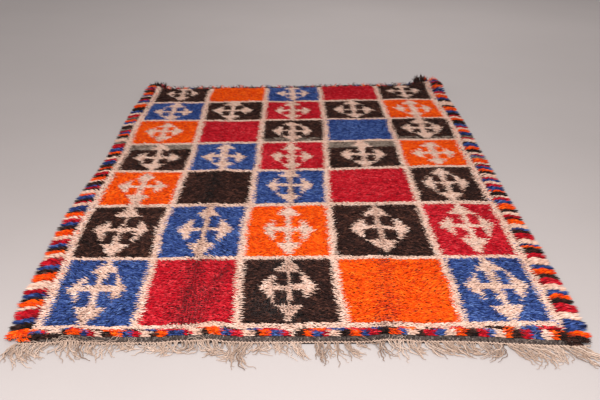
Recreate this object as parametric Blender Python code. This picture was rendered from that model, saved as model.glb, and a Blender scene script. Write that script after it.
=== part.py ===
"""Moroccan shag rug: knotted pile field, flat-woven end band and warp fringe.

Metres, +Z up. The rug lies on z = 0, its warp runs along Y and the fringed end is towards -Y.
The origin is the middle of the rug's outline, on the surface that it rests on.
"""

import random

import bmesh
import bpy
from mathutils import Vector, noise

# Reach of the whole rug from its middle, tufts and fringe included
REACH_SIDE = 0.856
REACH_END = 1.462

# Near edge of the pile, which bends towards -Y at its right end
NEAR_EDGE = -1.310
NEAR_BEND = {"from_x": 0.39, "to_x": 0.77, "depth": 0.027}
CORNER_BLOCK_WIDTH = 0.080

# Pile field
PILE_THICKNESS = 0.0205
PILE_LUMP = 0.0050
LUMP_PITCH = 0.085
PILE_RIM_DROP = 0.0045
RIM_WIDTH = 0.06
COLUMNS = 32
ROWS = 54

# Flat-woven band, twined heading, and the gap that parts the pieces
BAND_DEPTH = 0.029
BAND_THICKNESS = 0.0042
HEADING_DEPTH = 0.0085
HEADING_THICKNESS = 0.0042
GAP = 0.0003

# Rim locks: tapered tufts of four sides along both sides and the far end
SIDE_LOCK_LENGTH = 0.026
FAR_LOCK_LENGTH = 0.017
LOCK_SPREAD = 0.007
LOCK_WAIST = {"reach": 0.45, "width": 0.74, "height": 0.78}
LOCK_TIP_HEIGHT = 0.0045

# Fringe strands
STRANDS_PER_COLUMN = 4
STRAND_WIDTH = 0.0042
STRAND_TIP_WIDTH = 0.0030
STRAND_HEIGHT = 0.0034
STRAND_TOP_SHARE = 0.55
STRAND_STEPS = 4
STRAND_WAVE = 0.0022
STRAND_BEND = 1.4
STRAND_SETTLE = 0.030
STRAND_LENGTH_SPREAD = 0.14

# How far the side tufts reach, at places along the rug
SIDE_REACH = (
    {"y": -1.34, "left": -0.802, "right": 0.806},
    {"y": -1.03, "left": -0.832, "right": 0.824},
    {"y": -0.43, "left": -0.852, "right": 0.830},
    {"y": 0.17, "left": -0.833, "right": 0.840},
    {"y": 0.92, "left": -0.852, "right": 0.852},
    {"y": 1.44, "left": -0.838, "right": 0.846},
)

# Far edge of the pile field, at places across the rug
FAR_EDGE = (
    {"x": -0.82, "y": 1.366},
    {"x": -0.31, "y": 1.386},
    {"x": 0.00, "y": 1.394},
    {"x": 0.34, "y": 1.424},
    {"x": 0.82, "y": 1.449},
)

# Soft ridges that folding has left, each along a line from its near to its far end
CREASES = (
    {"near": (-0.312, -1.400), "far": (-0.327, 0.420), "height": 0.0080, "half_width": 0.070},
    {"near": (-0.237, -1.400), "far": (-0.212, -0.950), "height": 0.0110, "half_width": 0.055},
    {"near": (0.263, -1.400), "far": (0.288, -0.450), "height": 0.0090, "half_width": 0.070},
    {"near": (-0.642, -1.400), "far": (-0.612, -1.180), "height": 0.0120, "half_width": 0.075},
)
CREASE_FADE = 0.16

# Far corners that curl up off the floor
CURLS = (
    {"side": -1, "across": 0.10, "along": 0.12, "height": 0.030},
    {"side": 1, "across": 0.17, "along": 0.21, "height": 0.058},
)

# Strands of the fringe, at places across the near end: length, and drift sideways
FRINGE = (
    {"x": -0.80, "length": 0.078, "drift": -0.022},
    {"x": -0.69, "length": 0.090, "drift": -0.014},
    {"x": -0.61, "length": 0.052, "drift": -0.018},
    {"x": -0.51, "length": 0.072, "drift": 0.000},
    {"x": -0.37, "length": 0.058, "drift": 0.014},
    {"x": -0.25, "length": 0.070, "drift": 0.014},
    {"x": -0.15, "length": 0.106, "drift": 0.010},
    {"x": -0.06, "length": 0.058, "drift": 0.006},
    {"x": 0.08, "length": 0.084, "drift": 0.006},
    {"x": 0.21, "length": 0.066, "drift": 0.018},
    {"x": 0.31, "length": 0.080, "drift": 0.012},
    {"x": 0.46, "length": 0.066, "drift": 0.016},
    {"x": 0.59, "length": 0.080, "drift": 0.024},
    {"x": 0.69, "length": 0.076, "drift": 0.026},
    {"x": 0.80, "length": 0.098, "drift": 0.032},
)

WOOL = {
    "pile_field": {"color": (0.27, 0.085, 0.055), "roughness": 0.92},
    "end_weave": {"color": (0.075, 0.058, 0.050), "roughness": 0.90},
    "warp_fringe": {"color": (0.58, 0.42, 0.30), "roughness": 0.88},
}


def clear_scene():
    """Remove what the scene holds."""
    for old in list(bpy.data.objects):
        bpy.data.objects.remove(old, do_unlink=True)


def smooth(t):
    """Ease from 0 to 1 as t goes from 0 to 1."""
    t = min(max(t, 0.0), 1.0)
    return t * t * (3 - 2 * t)


def read_table(rows, key, place, column):
    """Value of a column at a place, eased between the two rows around it."""
    if place <= rows[0][key]:
        return rows[0][column]
    for low, high in zip(rows, rows[1:]):
        if place <= high[key]:
            t = smooth((place - low[key]) / (high[key] - low[key]))
            return low[column] + (high[column] - low[column]) * t
    return rows[-1][column]


def near_edge(x):
    """Near edge of the pile field at x."""
    span = NEAR_BEND["to_x"] - NEAR_BEND["from_x"]
    return NEAR_EDGE - NEAR_BEND["depth"] * smooth((x - NEAR_BEND["from_x"]) / span)


def far_edge(x):
    """Far edge of the pile field at x."""
    return read_table(FAR_EDGE, "x", x, "y")


def side_edge(y, side):
    """Edge of the pile field at y, on the left (-1) or the right (1)."""
    column = "left" if side < 0 else "right"
    return read_table(SIDE_REACH, "y", y, column) - side * SIDE_LOCK_LENGTH


def crease_lift(crease, x, y):
    """Height that one soft ridge adds at a point."""
    near = Vector(crease["near"])
    run = Vector(crease["far"]) - near
    length = run.length
    along = run.normalized()
    offset = Vector((x, y)) - near
    down = offset.dot(along)
    across = abs(offset.x * along.y - offset.y * along.x)
    fade = 1 - smooth((down - length + CREASE_FADE) / CREASE_FADE)
    return crease["height"] * fade * (1 - smooth(across / crease["half_width"]))


def curl_lift(curl, x, y):
    """Height that a curled far corner adds at a point."""
    side = curl["side"]
    across = 1 - (side_edge(y, side) - x) * side / curl["across"]
    along = 1 - (far_edge(x) - y) / curl["along"]
    return curl["height"] * smooth(across) * smooth(along)


def lift(x, y):
    """Height of the rug's underside over the floor."""
    ridges = sum(crease_lift(crease, x, y) for crease in CREASES)
    corners = sum(curl_lift(curl, x, y) for curl in CURLS)
    return ridges + corners


def pile_height(x, y):
    """Thickness of the pile field, lumpy and lower along its rim."""
    bumps = noise.noise(Vector((x / LUMP_PITCH, y / LUMP_PITCH, 0.0)))
    inset = min(x - side_edge(y, -1), side_edge(y, 1) - x, y - near_edge(x), far_edge(x) - y)
    rim = 1 - smooth(inset / RIM_WIDTH)
    return PILE_THICKNESS + PILE_LUMP * bumps - PILE_RIM_DROP * rim


def column_places():
    """Places across the near edge that all three pieces share."""
    left = side_edge(NEAR_EDGE, -1)
    right = side_edge(NEAR_EDGE, 1)
    places = [left + (right - left) * i / COLUMNS for i in range(COLUMNS + 1)]
    block = min(range(COLUMNS), key=lambda i: abs(right - CORNER_BLOCK_WIDTH - places[i]))
    return places, block


def grid_point(i, j, places):
    """Plan point of the pile field's grid: column i, row j."""
    share = (places[i] - places[0]) / (places[-1] - places[0])
    row = j / ROWS
    x = places[i]
    for _ in range(3):
        y = near_edge(x) + (far_edge(x) - near_edge(x)) * row
        x = side_edge(y, -1) + (side_edge(y, 1) - side_edge(y, -1)) * share if j else places[i]
    return x, y


def add_walls(bm, top, bottom):
    """Close the rim of the field and return its walls by side."""
    rim = [(0, j) for j in range(ROWS + 1)]
    rim += [(i, ROWS) for i in range(1, COLUMNS + 1)]
    rim += [(COLUMNS, j) for j in range(ROWS - 1, -1, -1)]
    rim += [(i, 0) for i in range(COLUMNS - 1, 0, -1)]
    walls = {"left": [], "far": [], "right": [], "near": []}
    for here, there in zip(rim, rim[1:] + rim[:1]):
        wall = bm.faces.new((bottom[here], bottom[there], top[there], top[here]))
        if here[0] == there[0]:
            name = "left" if here[0] == 0 else "right"
        else:
            name = "far" if here[1] == ROWS else "near"
        walls[name].append(wall)
    walls["near"].reverse()
    return walls


def grow_lock(bm, wall, outward, length):
    """Draw a wall of the rim out into one tapered lock that lies low."""
    root = [vert.co.copy() for vert in wall.verts]
    middle = sum(root, Vector()) / len(root)
    foot = min(point.z for point in root)
    waist = bmesh.ops.extrude_discrete_faces(bm, faces=[wall])["faces"][0]
    for vert in waist.verts:
        spread = vert.co - middle
        spread.x *= LOCK_WAIST["width"]
        spread.y *= LOCK_WAIST["width"]
        height = (vert.co.z - foot) * LOCK_WAIST["height"]
        vert.co = middle + spread + outward * length * LOCK_WAIST["reach"]
        vert.co.z = foot + height
        keep_in_reach(vert)
    tip = bmesh.ops.poke(bm, faces=[waist])["verts"][0]
    tip.co = middle + outward * length
    tip.co.z = foot + LOCK_TIP_HEIGHT
    keep_in_reach(tip)


def keep_in_reach(vert):
    """Hold a point inside the rug's overall size."""
    vert.co.x = min(max(vert.co.x, -REACH_SIDE), REACH_SIDE)
    vert.co.y = min(max(vert.co.y, -REACH_END), REACH_END)


def grow_rim_locks(bm, walls):
    """Locks along both sides and the far end."""
    chance = random.Random(41)
    for name, outward, length in (
        ("left", Vector((-1, 0, 0)), SIDE_LOCK_LENGTH),
        ("right", Vector((1, 0, 0)), SIDE_LOCK_LENGTH),
        ("far", Vector((0, 1, 0)), FAR_LOCK_LENGTH),
    ):
        for wall in walls[name]:
            lean = Vector((chance.uniform(-0.2, 0.2), chance.uniform(-0.2, 0.2), 0))
            reach = length + chance.uniform(-LOCK_SPREAD, LOCK_SPREAD)
            grow_lock(bm, wall, (outward + lean).normalized(), reach)


def add_corner_block(bm, near_walls):
    """Carry the pile on past the near edge, beside the end of the band."""
    block = bmesh.ops.extrude_face_region(bm, geom=near_walls)
    bmesh.ops.delete(bm, geom=near_walls, context="FACES_ONLY")
    moved = {part for part in block["geom"] if isinstance(part, bmesh.types.BMVert)}
    for vert in moved:
        vert.co.y -= BAND_DEPTH
    outer = max(moved, key=lambda vert: vert.co.x)
    sides = [face for face in outer.link_faces if len(moved.intersection(face.verts)) == 2]
    right = max(sides, key=lambda face: face.calc_center_median().x)
    grow_lock(bm, right, Vector((1, 0, 0)), SIDE_LOCK_LENGTH)


def make_pile_field(places, block):
    """Lumpy slab of knotted pile, with soft creases, curled far corners and rim locks."""
    bm = bmesh.new()
    top = {}
    bottom = {}
    for i in range(COLUMNS + 1):
        for j in range(ROWS + 1):
            x, y = grid_point(i, j, places)
            base = lift(x, y)
            bottom[i, j] = bm.verts.new((x, y, base))
            top[i, j] = bm.verts.new((x, y, base + pile_height(x, y)))
    under = []
    for i in range(COLUMNS):
        for j in range(ROWS):
            ring = ((i, j), (i + 1, j), (i + 1, j + 1), (i, j + 1))
            bm.faces.new([top[key] for key in ring])
            under.append(bm.faces.new([bottom[key] for key in reversed(ring)]))
    walls = add_walls(bm, top, bottom)
    grow_rim_locks(bm, walls)
    add_corner_block(bm, walls["near"][block:])
    bmesh.ops.recalc_face_normals(bm, faces=bm.faces)
    flat = [face for face in under if max(vert.co.z for vert in face.verts) == 0.0]
    merge_flat_underside(bm, flat)
    return finish_object(bm, "pile_field")


def merge_flat_underside(bm, flat):
    """Join the squares that lie on the floor into a few large flat faces."""
    edges = {edge for face in flat for edge in face.edges}
    chosen = set(flat)
    inner = [edge for edge in edges if all(face in chosen for face in edge.link_faces)]
    bmesh.ops.dissolve_limit(
        bm,
        angle_limit=0.0001,
        use_dissolve_boundaries=False,
        verts=list({vert for face in flat for vert in face.verts}),
        edges=inner,
    )


def strip_points(places, start, depth, thickness):
    """Cross-section corners of a flat strip along the near edge, station by station."""
    stations = []
    for x in places:
        back = near_edge(x) - start
        base = lift(x, back - depth)
        stations.append(
            {
                "x": x,
                "back": back,
                "front": back - depth,
                "base": base,
                "top": base + thickness,
            }
        )
    return stations


def make_end_weave(places, block):
    """Flat-woven band between the pile and the heading, up to the corner block."""
    bm = bmesh.new()
    stations = strip_points(places[: block + 1], GAP, BAND_DEPTH - 2 * GAP, BAND_THICKNESS)
    stations[-1]["x"] -= GAP
    rings = []
    for spot in stations:
        corners = (("back", "base"), ("front", "base"), ("front", "top"), ("back", "top"))
        rings.append([bm.verts.new((spot["x"], spot[side], spot[level])) for side, level in corners])
    for ring, following in zip(rings, rings[1:]):
        for k in range(4):
            after = (k + 1) % 4
            bm.faces.new((ring[k], ring[after], following[after], following[k]))
    bm.faces.new(rings[0])
    bm.faces.new(rings[-1])
    bmesh.ops.recalc_face_normals(bm, faces=bm.faces)
    return finish_object(bm, "end_weave")


def strand_path(x, y, base, chance):
    """Centre points of one strand: out of the heading, down to the floor and along it."""
    usual = read_table(FRINGE, "x", x, "length")
    length = usual * chance.uniform(1 - STRAND_LENGTH_SPREAD, 1 + STRAND_LENGTH_SPREAD)
    drift = read_table(FRINGE, "x", x, "drift")
    points = []
    for step in range(1, STRAND_STEPS + 2):
        share = step / (STRAND_STEPS + 1)
        wave = chance.uniform(-STRAND_WAVE, STRAND_WAVE) * smooth(2 * share)
        fall = base * (1 - smooth(share * length / STRAND_SETTLE))
        points.append(
            {
                "x": x + drift * (share * length / usual) ** STRAND_BEND + wave,
                "y": max(y - length * share, -REACH_END),
                "z": fall,
                "width": STRAND_WIDTH + (STRAND_TIP_WIDTH - STRAND_WIDTH) * share,
            }
        )
    return points


def grow_strand(bm, root, points):
    """Draw a strand of four sides from its root ring to a point."""
    ring = root
    for point in points[:-1]:
        half = point["width"] / 2
        top_half = half * STRAND_TOP_SHARE
        top = point["z"] + STRAND_HEIGHT
        corners = ((-half, point["z"]), (half, point["z"]), (top_half, top), (-top_half, top))
        following = [bm.verts.new((point["x"] + dx, point["y"], z)) for dx, z in corners]
        for k in range(4):
            after = (k + 1) % 4
            bm.faces.new((ring[k], ring[after], following[after], following[k]))
        ring = following
    last = points[-1]
    tip = bm.verts.new((last["x"], last["y"], last["z"] + STRAND_TIP_WIDTH / 4))
    for k in range(4):
        bm.faces.new((ring[k], ring[(k + 1) % 4], tip))


def heading_front(bm, low, high, spot, following, chance):
    """Front wall of one stretch of the heading, with the strands that leave it."""
    count = STRANDS_PER_COLUMN
    span = following["x"] - spot["x"]
    half = STRAND_WIDTH / 2
    cuts = []
    for k in range(count):
        middle = (k + 0.5) / count
        cuts += [middle - half / span, middle + half / span]
    bottoms = [low[0]]
    tops = [high[0]]
    for share in cuts:
        x = spot["x"] + span * share
        y = spot["front"] + (following["front"] - spot["front"]) * share
        base = spot["base"] + (following["base"] - spot["base"]) * share
        bottoms.append(bm.verts.new((x, y, base)))
        tops.append(bm.verts.new((x, y, base + HEADING_THICKNESS)))
    bottoms.append(low[1])
    tops.append(high[1])
    for k in range(len(bottoms) - 1):
        ring = (bottoms[k], bottoms[k + 1], tops[k + 1], tops[k])
        if k % 2:
            root = (bottoms[k].co + bottoms[k + 1].co) / 2
            grow_strand(bm, ring, strand_path(root.x, root.y, root.z, chance))
        else:
            bm.faces.new(ring)
    return bottoms, tops


def make_warp_fringe(places):
    """Twined heading with the warp ends that hang out of it and rest on the floor."""
    bm = bmesh.new()
    chance = random.Random(7)
    stations = strip_points(places, BAND_DEPTH + GAP, HEADING_DEPTH, HEADING_THICKNESS)
    back_low = [bm.verts.new((spot["x"], spot["back"], spot["base"])) for spot in stations]
    back_high = [bm.verts.new((spot["x"], spot["back"], spot["top"])) for spot in stations]
    front_low = [bm.verts.new((spot["x"], spot["front"], spot["base"])) for spot in stations]
    front_high = [bm.verts.new((spot["x"], spot["front"], spot["top"])) for spot in stations]
    for i in range(len(stations) - 1):
        low, high = heading_front(
            bm, front_low[i : i + 2], front_high[i : i + 2], stations[i], stations[i + 1], chance
        )
        bm.faces.new([back_low[i + 1], back_low[i]] + low)
        bm.faces.new([back_high[i], back_high[i + 1]] + high[::-1])
        bm.faces.new((back_low[i], back_low[i + 1], back_high[i + 1], back_high[i]))
    for end in (0, -1):
        bm.faces.new((back_low[end], back_high[end], front_high[end], front_low[end]))
    bmesh.ops.recalc_face_normals(bm, faces=bm.faces)
    return finish_object(bm, "warp_fringe")


def wool_material(name):
    """Matt wool in the colour of one piece."""
    look = WOOL[name]
    material = bpy.data.materials.new(name + "_wool")
    material.use_nodes = True
    shader = material.node_tree.nodes["Principled BSDF"]
    shader.inputs["Base Color"].default_value = (*look["color"], 1.0)
    shader.inputs["Roughness"].default_value = look["roughness"]
    shader.inputs["Metallic"].default_value = 0.0
    return material


def finish_object(bm, name):
    """Put a closed mesh into the scene as a named piece."""
    mesh = bpy.data.meshes.new(name)
    bm.to_mesh(mesh)
    bm.free()
    mesh.materials.append(wool_material(name))
    piece = bpy.data.objects.new(name, mesh)
    bpy.context.scene.collection.objects.link(piece)
    return piece


def main():
    clear_scene()
    places, block = column_places()
    make_pile_field(places, block)
    make_end_weave(places, block)
    make_warp_fringe(places)


main()
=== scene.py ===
import math

import bpy
import numpy as np
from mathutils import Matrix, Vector
from mathutils.bvhtree import BVHTree


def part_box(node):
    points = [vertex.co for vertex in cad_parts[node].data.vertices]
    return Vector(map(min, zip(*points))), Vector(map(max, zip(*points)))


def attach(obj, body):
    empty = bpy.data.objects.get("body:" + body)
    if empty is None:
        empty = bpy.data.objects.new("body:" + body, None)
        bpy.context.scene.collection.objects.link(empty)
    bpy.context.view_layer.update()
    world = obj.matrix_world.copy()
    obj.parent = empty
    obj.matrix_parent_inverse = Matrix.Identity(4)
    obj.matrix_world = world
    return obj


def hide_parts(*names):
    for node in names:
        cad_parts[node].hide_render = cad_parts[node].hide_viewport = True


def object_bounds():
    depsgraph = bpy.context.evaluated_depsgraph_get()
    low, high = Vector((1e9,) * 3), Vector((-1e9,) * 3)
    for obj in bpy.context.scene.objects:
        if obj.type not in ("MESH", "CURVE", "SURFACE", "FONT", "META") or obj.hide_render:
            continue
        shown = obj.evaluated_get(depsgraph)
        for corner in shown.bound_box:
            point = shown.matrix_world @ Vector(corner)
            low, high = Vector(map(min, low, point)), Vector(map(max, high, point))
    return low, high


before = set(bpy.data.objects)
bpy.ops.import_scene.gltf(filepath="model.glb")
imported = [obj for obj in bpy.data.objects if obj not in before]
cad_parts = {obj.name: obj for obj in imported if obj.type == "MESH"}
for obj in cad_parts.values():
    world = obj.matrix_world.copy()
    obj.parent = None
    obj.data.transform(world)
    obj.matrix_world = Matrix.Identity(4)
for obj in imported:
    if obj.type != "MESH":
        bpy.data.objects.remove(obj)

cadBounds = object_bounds()
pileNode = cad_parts["pile_field"]
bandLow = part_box("end_weave")[0]

# the rug's outline in metres: near end at -y, long sides along y
outline = {
    "nearEdge": -1.310, "nearDrop": 0.027, "dropFrom": 0.39, "dropTo": 0.77,
    "lockLength": 0.026, "bandDepth": 0.029, "headingDepth": 0.0085, "gap": 0.0003,
    "pileLength": 2.7, "cordPlace": -1.34,    # y where the sides bound the cords
    "bandEnd": 0.752,                         # the band's weave stops here, under the dark corner block
}
sideReach = (
    {"y": -1.34, "left": -0.802, "right": 0.812},
    {"y": -1.03, "left": -0.832, "right": 0.828},
    {"y": -0.43, "left": -0.852, "right": 0.830},
    {"y": 0.17, "left": -0.833, "right": 0.840},
    {"y": 0.92, "left": -0.852, "right": 0.852},
    {"y": 1.44, "left": -0.838, "right": 0.846},
)
farReach = (
    {"x": -0.82, "y": 1.366},
    {"x": -0.31, "y": 1.386},
    {"x": 0.00, "y": 1.394},
    {"x": 0.34, "y": 1.424},
    {"x": 0.82, "y": 1.449},
)


def ease(t):
    t = np.clip(t, 0.0, 1.0)
    return t * t * (3 - 2 * t)


def readTable(rows, key, column, at):
    places = np.array([row[key] for row in rows])
    values = np.array([row[column] for row in rows])
    at = np.clip(at, places[0], places[-1])
    low = np.clip(np.searchsorted(places, at, side="right") - 1, 0, len(places) - 2)
    t = ease((at - places[low]) / (places[low + 1] - places[low]))
    return values[low] + (values[low + 1] - values[low]) * t


def blend(grid, ix, iy, right, up, fx, fy):
    low = grid[iy, ix] * (1 - fx) + grid[iy, right] * fx
    high = grid[up, ix] * (1 - fx) + grid[up, right] * fx
    return low * (1 - fy) + high * fy


def softNoise(x, y, pitch, seed):
    # smooth random field from -1 to 1
    side = 64
    field = np.random.default_rng(seed).uniform(-1, 1, (side, side))
    gx, gy = x / pitch + 31.7, y / pitch + 17.3
    ix, iy = np.floor(gx).astype(int), np.floor(gy).astype(int)
    right, up = (ix + 1) % side, (iy + 1) % side
    return blend(field, ix % side, iy % side, right, up, ease(gx - ix), ease(gy - iy))


def nearEdge(x):
    span = outline["dropTo"] - outline["dropFrom"]
    return outline["nearEdge"] - outline["nearDrop"] * ease((x - outline["dropFrom"]) / span)


def farEdge(x):
    return readTable(farReach, "x", "y", x)


def leftEdge(y):
    return readTable(sideReach, "y", "left", y) + outline["lockLength"]


def rightEdge(y):
    return readTable(sideReach, "y", "right", y) - outline["lockLength"]


# heights of the solid pile field, read once through the frame and then looked up
heightGrid = {"across": 140, "along": 220, "inset": 0.004, "ray": 0.5, "usual": 0.02}


def readHeights():
    tree = BVHTree.FromPolygons([v.co for v in pileNode.data.vertices],
                                [p.vertices for p in pileNode.data.polygons])
    a = np.linspace(heightGrid["inset"], 1 - heightGrid["inset"], heightGrid["across"])
    b = np.linspace(heightGrid["inset"], 1 - heightGrid["inset"], heightGrid["along"])
    across, along = np.meshgrid(a, b)
    x = leftEdge(along * 0) + (rightEdge(along * 0) - leftEdge(along * 0)) * across
    for _ in range(4):
        y = nearEdge(x) + (farEdge(x) - nearEdge(x)) * along
        x = leftEdge(y) + (rightEdge(y) - leftEdge(y)) * across
    under, top = np.zeros_like(x), np.zeros_like(x)
    up, down = Vector((0, 0, 1)), Vector((0, 0, -1))
    reach = heightGrid["ray"]
    for j in range(x.shape[0]):
        for i in range(x.shape[1]):
            low = tree.ray_cast(Vector((x[j, i], y[j, i], -reach)), up)[0]
            high = tree.ray_cast(Vector((x[j, i], y[j, i], reach)), down)[0]
            under[j, i] = low.z if low else 0.0
            top[j, i] = high.z if high else heightGrid["usual"]
    return under, top


underGrid, topGrid = readHeights()


def lookUp(grid, x, y):
    # height at a plan point, held at the rim's value outside the field
    along = (y - nearEdge(x)) / (farEdge(x) - nearEdge(x))
    across = (x - leftEdge(y)) / (rightEdge(y) - leftEdge(y))
    inset = heightGrid["inset"]
    gy = np.clip((along - inset) / (1 - 2 * inset), 0, 1) * (grid.shape[0] - 1.001)
    gx = np.clip((across - inset) / (1 - 2 * inset), 0, 1) * (grid.shape[1] - 1.001)
    ix, iy = gx.astype(int), gy.astype(int)
    return blend(grid, ix, iy, ix + 1, iy + 1, gx - ix, gy - iy)


cornerSag = {"x": 0.70, "y": 1.33, "over": 0.09, "depth": 0.020}    # the far right corner hangs a little


def sagAt(x, y):
    across, along = (x - cornerSag["x"]) / cornerSag["over"], (y - cornerSag["y"]) / cornerSag["over"]
    return cornerSag["depth"] * ease(across) * ease(along)


def liftAt(x, y):
    return np.maximum(lookUp(underGrid, x, y) - sagAt(x, y), 0.0)


def topAt(x, y):
    return lookUp(topGrid, x, y) - sagAt(x, y)


def valueAt(function, *place):
    # one value of a function that takes arrays
    return float(function(*(np.array([number]) for number in place))[0])


print("frame read: outline and heights ready")

# the knot grid: columns and rows of knots follow the cream lines, as warps and wefts do
knotGrid = {
    "sideColumns": 4, "lineColumns": 3, "fieldColumns": (26, 28, 30, 32, 26), "lineWide": 0.0220,
    "frontRows": 3, "lineRows": 2, "fieldRows": (31, 33, 26, 25, 25, 24, 21),
    "farRows": 2, "farDeep": 0.020, "wander": 0.0025, "wanderPitch": 0.055,
}
uprightLines = (                              # cream lines along the rug: y, then x of the six lines
    (-1.23, -0.737, -0.463, -0.176, 0.136, 0.477, 0.743),
    (-1.00, -0.747, -0.469, -0.182, 0.124, 0.484, 0.745),
    (-0.60, -0.772, -0.484, -0.184, 0.124, 0.470, 0.751),
    (-0.20, -0.769, -0.469, -0.170, 0.124, 0.474, 0.752),
    (0.20, -0.763, -0.458, -0.163, 0.137, 0.472, 0.760),
    (0.60, -0.783, -0.466, -0.163, 0.151, 0.474, 0.777),
    (1.20, -0.775, -0.476, -0.157, 0.146, 0.470, 0.766),
)
linePlaces = (-0.62, -0.32, -0.02, 0.30, 0.61)    # middles of the five columns of fields
levelLines = (                                # cream lines across the rug: their near and far edges
    ((-1.290, -1.290, -1.288, -1.288, -1.282), (-1.274, -1.271, -1.256, -1.264, -1.260)),
    ((-0.854, -0.858, -0.850, -0.858, -0.850), (-0.837, -0.836, -0.826, -0.839, -0.828)),
    ((-0.404, -0.412, -0.400, -0.390, -0.386), (-0.376, -0.376, -0.368, -0.360, -0.350)),
    ((-0.026, -0.026, -0.014, 0.004, 0.026), (-0.002, -0.002, 0.008, 0.032, 0.050)),
    ((0.334, 0.343, 0.366, 0.382, 0.398), (0.362, 0.370, 0.388, 0.404, 0.422)),
    ((0.713, 0.704, 0.720, 0.732, 0.748), (0.734, 0.730, 0.746, 0.756, 0.768)),
    ((1.046, 1.050, 1.060, 1.082, 1.100), (1.076, 1.076, 1.088, 1.106, 1.124)),
)


def countsAcross():
    counts = [knotGrid["sideColumns"]]
    for field in knotGrid["fieldColumns"]:
        counts += [knotGrid["lineColumns"], field]
    return np.array(counts + [knotGrid["lineColumns"], knotGrid["sideColumns"]])


def countsAlong():
    counts = [knotGrid["frontRows"]]
    for field in knotGrid["fieldRows"]:
        counts += [knotGrid["lineRows"], field]
    return np.array(counts + [knotGrid["farRows"]])


columnStarts = np.concatenate([[0], np.cumsum(countsAcross())])
rowStarts = np.concatenate([[0], np.cumsum(countsAlong())])


def uprightEdges(y):
    # left and right edge of every upright line, between the rug's own edges
    edges = [leftEdge(y)]
    for index in range(len(uprightLines[0]) - 1):
        wander = knotGrid["wander"] * softNoise(y * 0 + 3.0 * index, y, knotGrid["wanderPitch"], 21)
        centre = readTable(uprightLines, 0, index + 1, y) + wander
        edges += [centre - knotGrid["lineWide"] / 2, centre + knotGrid["lineWide"] / 2]
    return np.stack(edges + [rightEdge(y)])


def levelEdges(x):
    edges = [nearEdge(x)]
    for index, line in enumerate(levelLines):
        wander = knotGrid["wander"] * softNoise(x, x * 0 + 3.0 * index, 2 * knotGrid["wanderPitch"], 22)
        edges += [np.interp(x, linePlaces, edge) + wander for edge in line]
    return np.stack(edges + [farEdge(x) - knotGrid["farDeep"], farEdge(x)])


def between(edges, starts, place):
    section = np.clip(np.searchsorted(starts, place, side="right") - 1, 0, len(starts) - 2)
    share = (place - starts[section]) / (starts[section + 1] - starts[section])
    low = np.take_along_axis(edges, section[None], 0)[0]
    high = np.take_along_axis(edges, section[None] + 1, 0)[0]
    return low + (high - low) * share


def gridPoint(column, row):
    # plan point of a place in the knot grid
    x = np.zeros(column.shape)
    for _ in range(4):
        y = between(levelEdges(x), rowStarts, row)
        x = between(uprightEdges(y), columnStarts, column)
    return x, y


def knotPlaces():
    return np.meshgrid(np.arange(columnStarts[-1]) + 0.5, np.arange(rowStarts[-1]) + 0.5)


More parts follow.
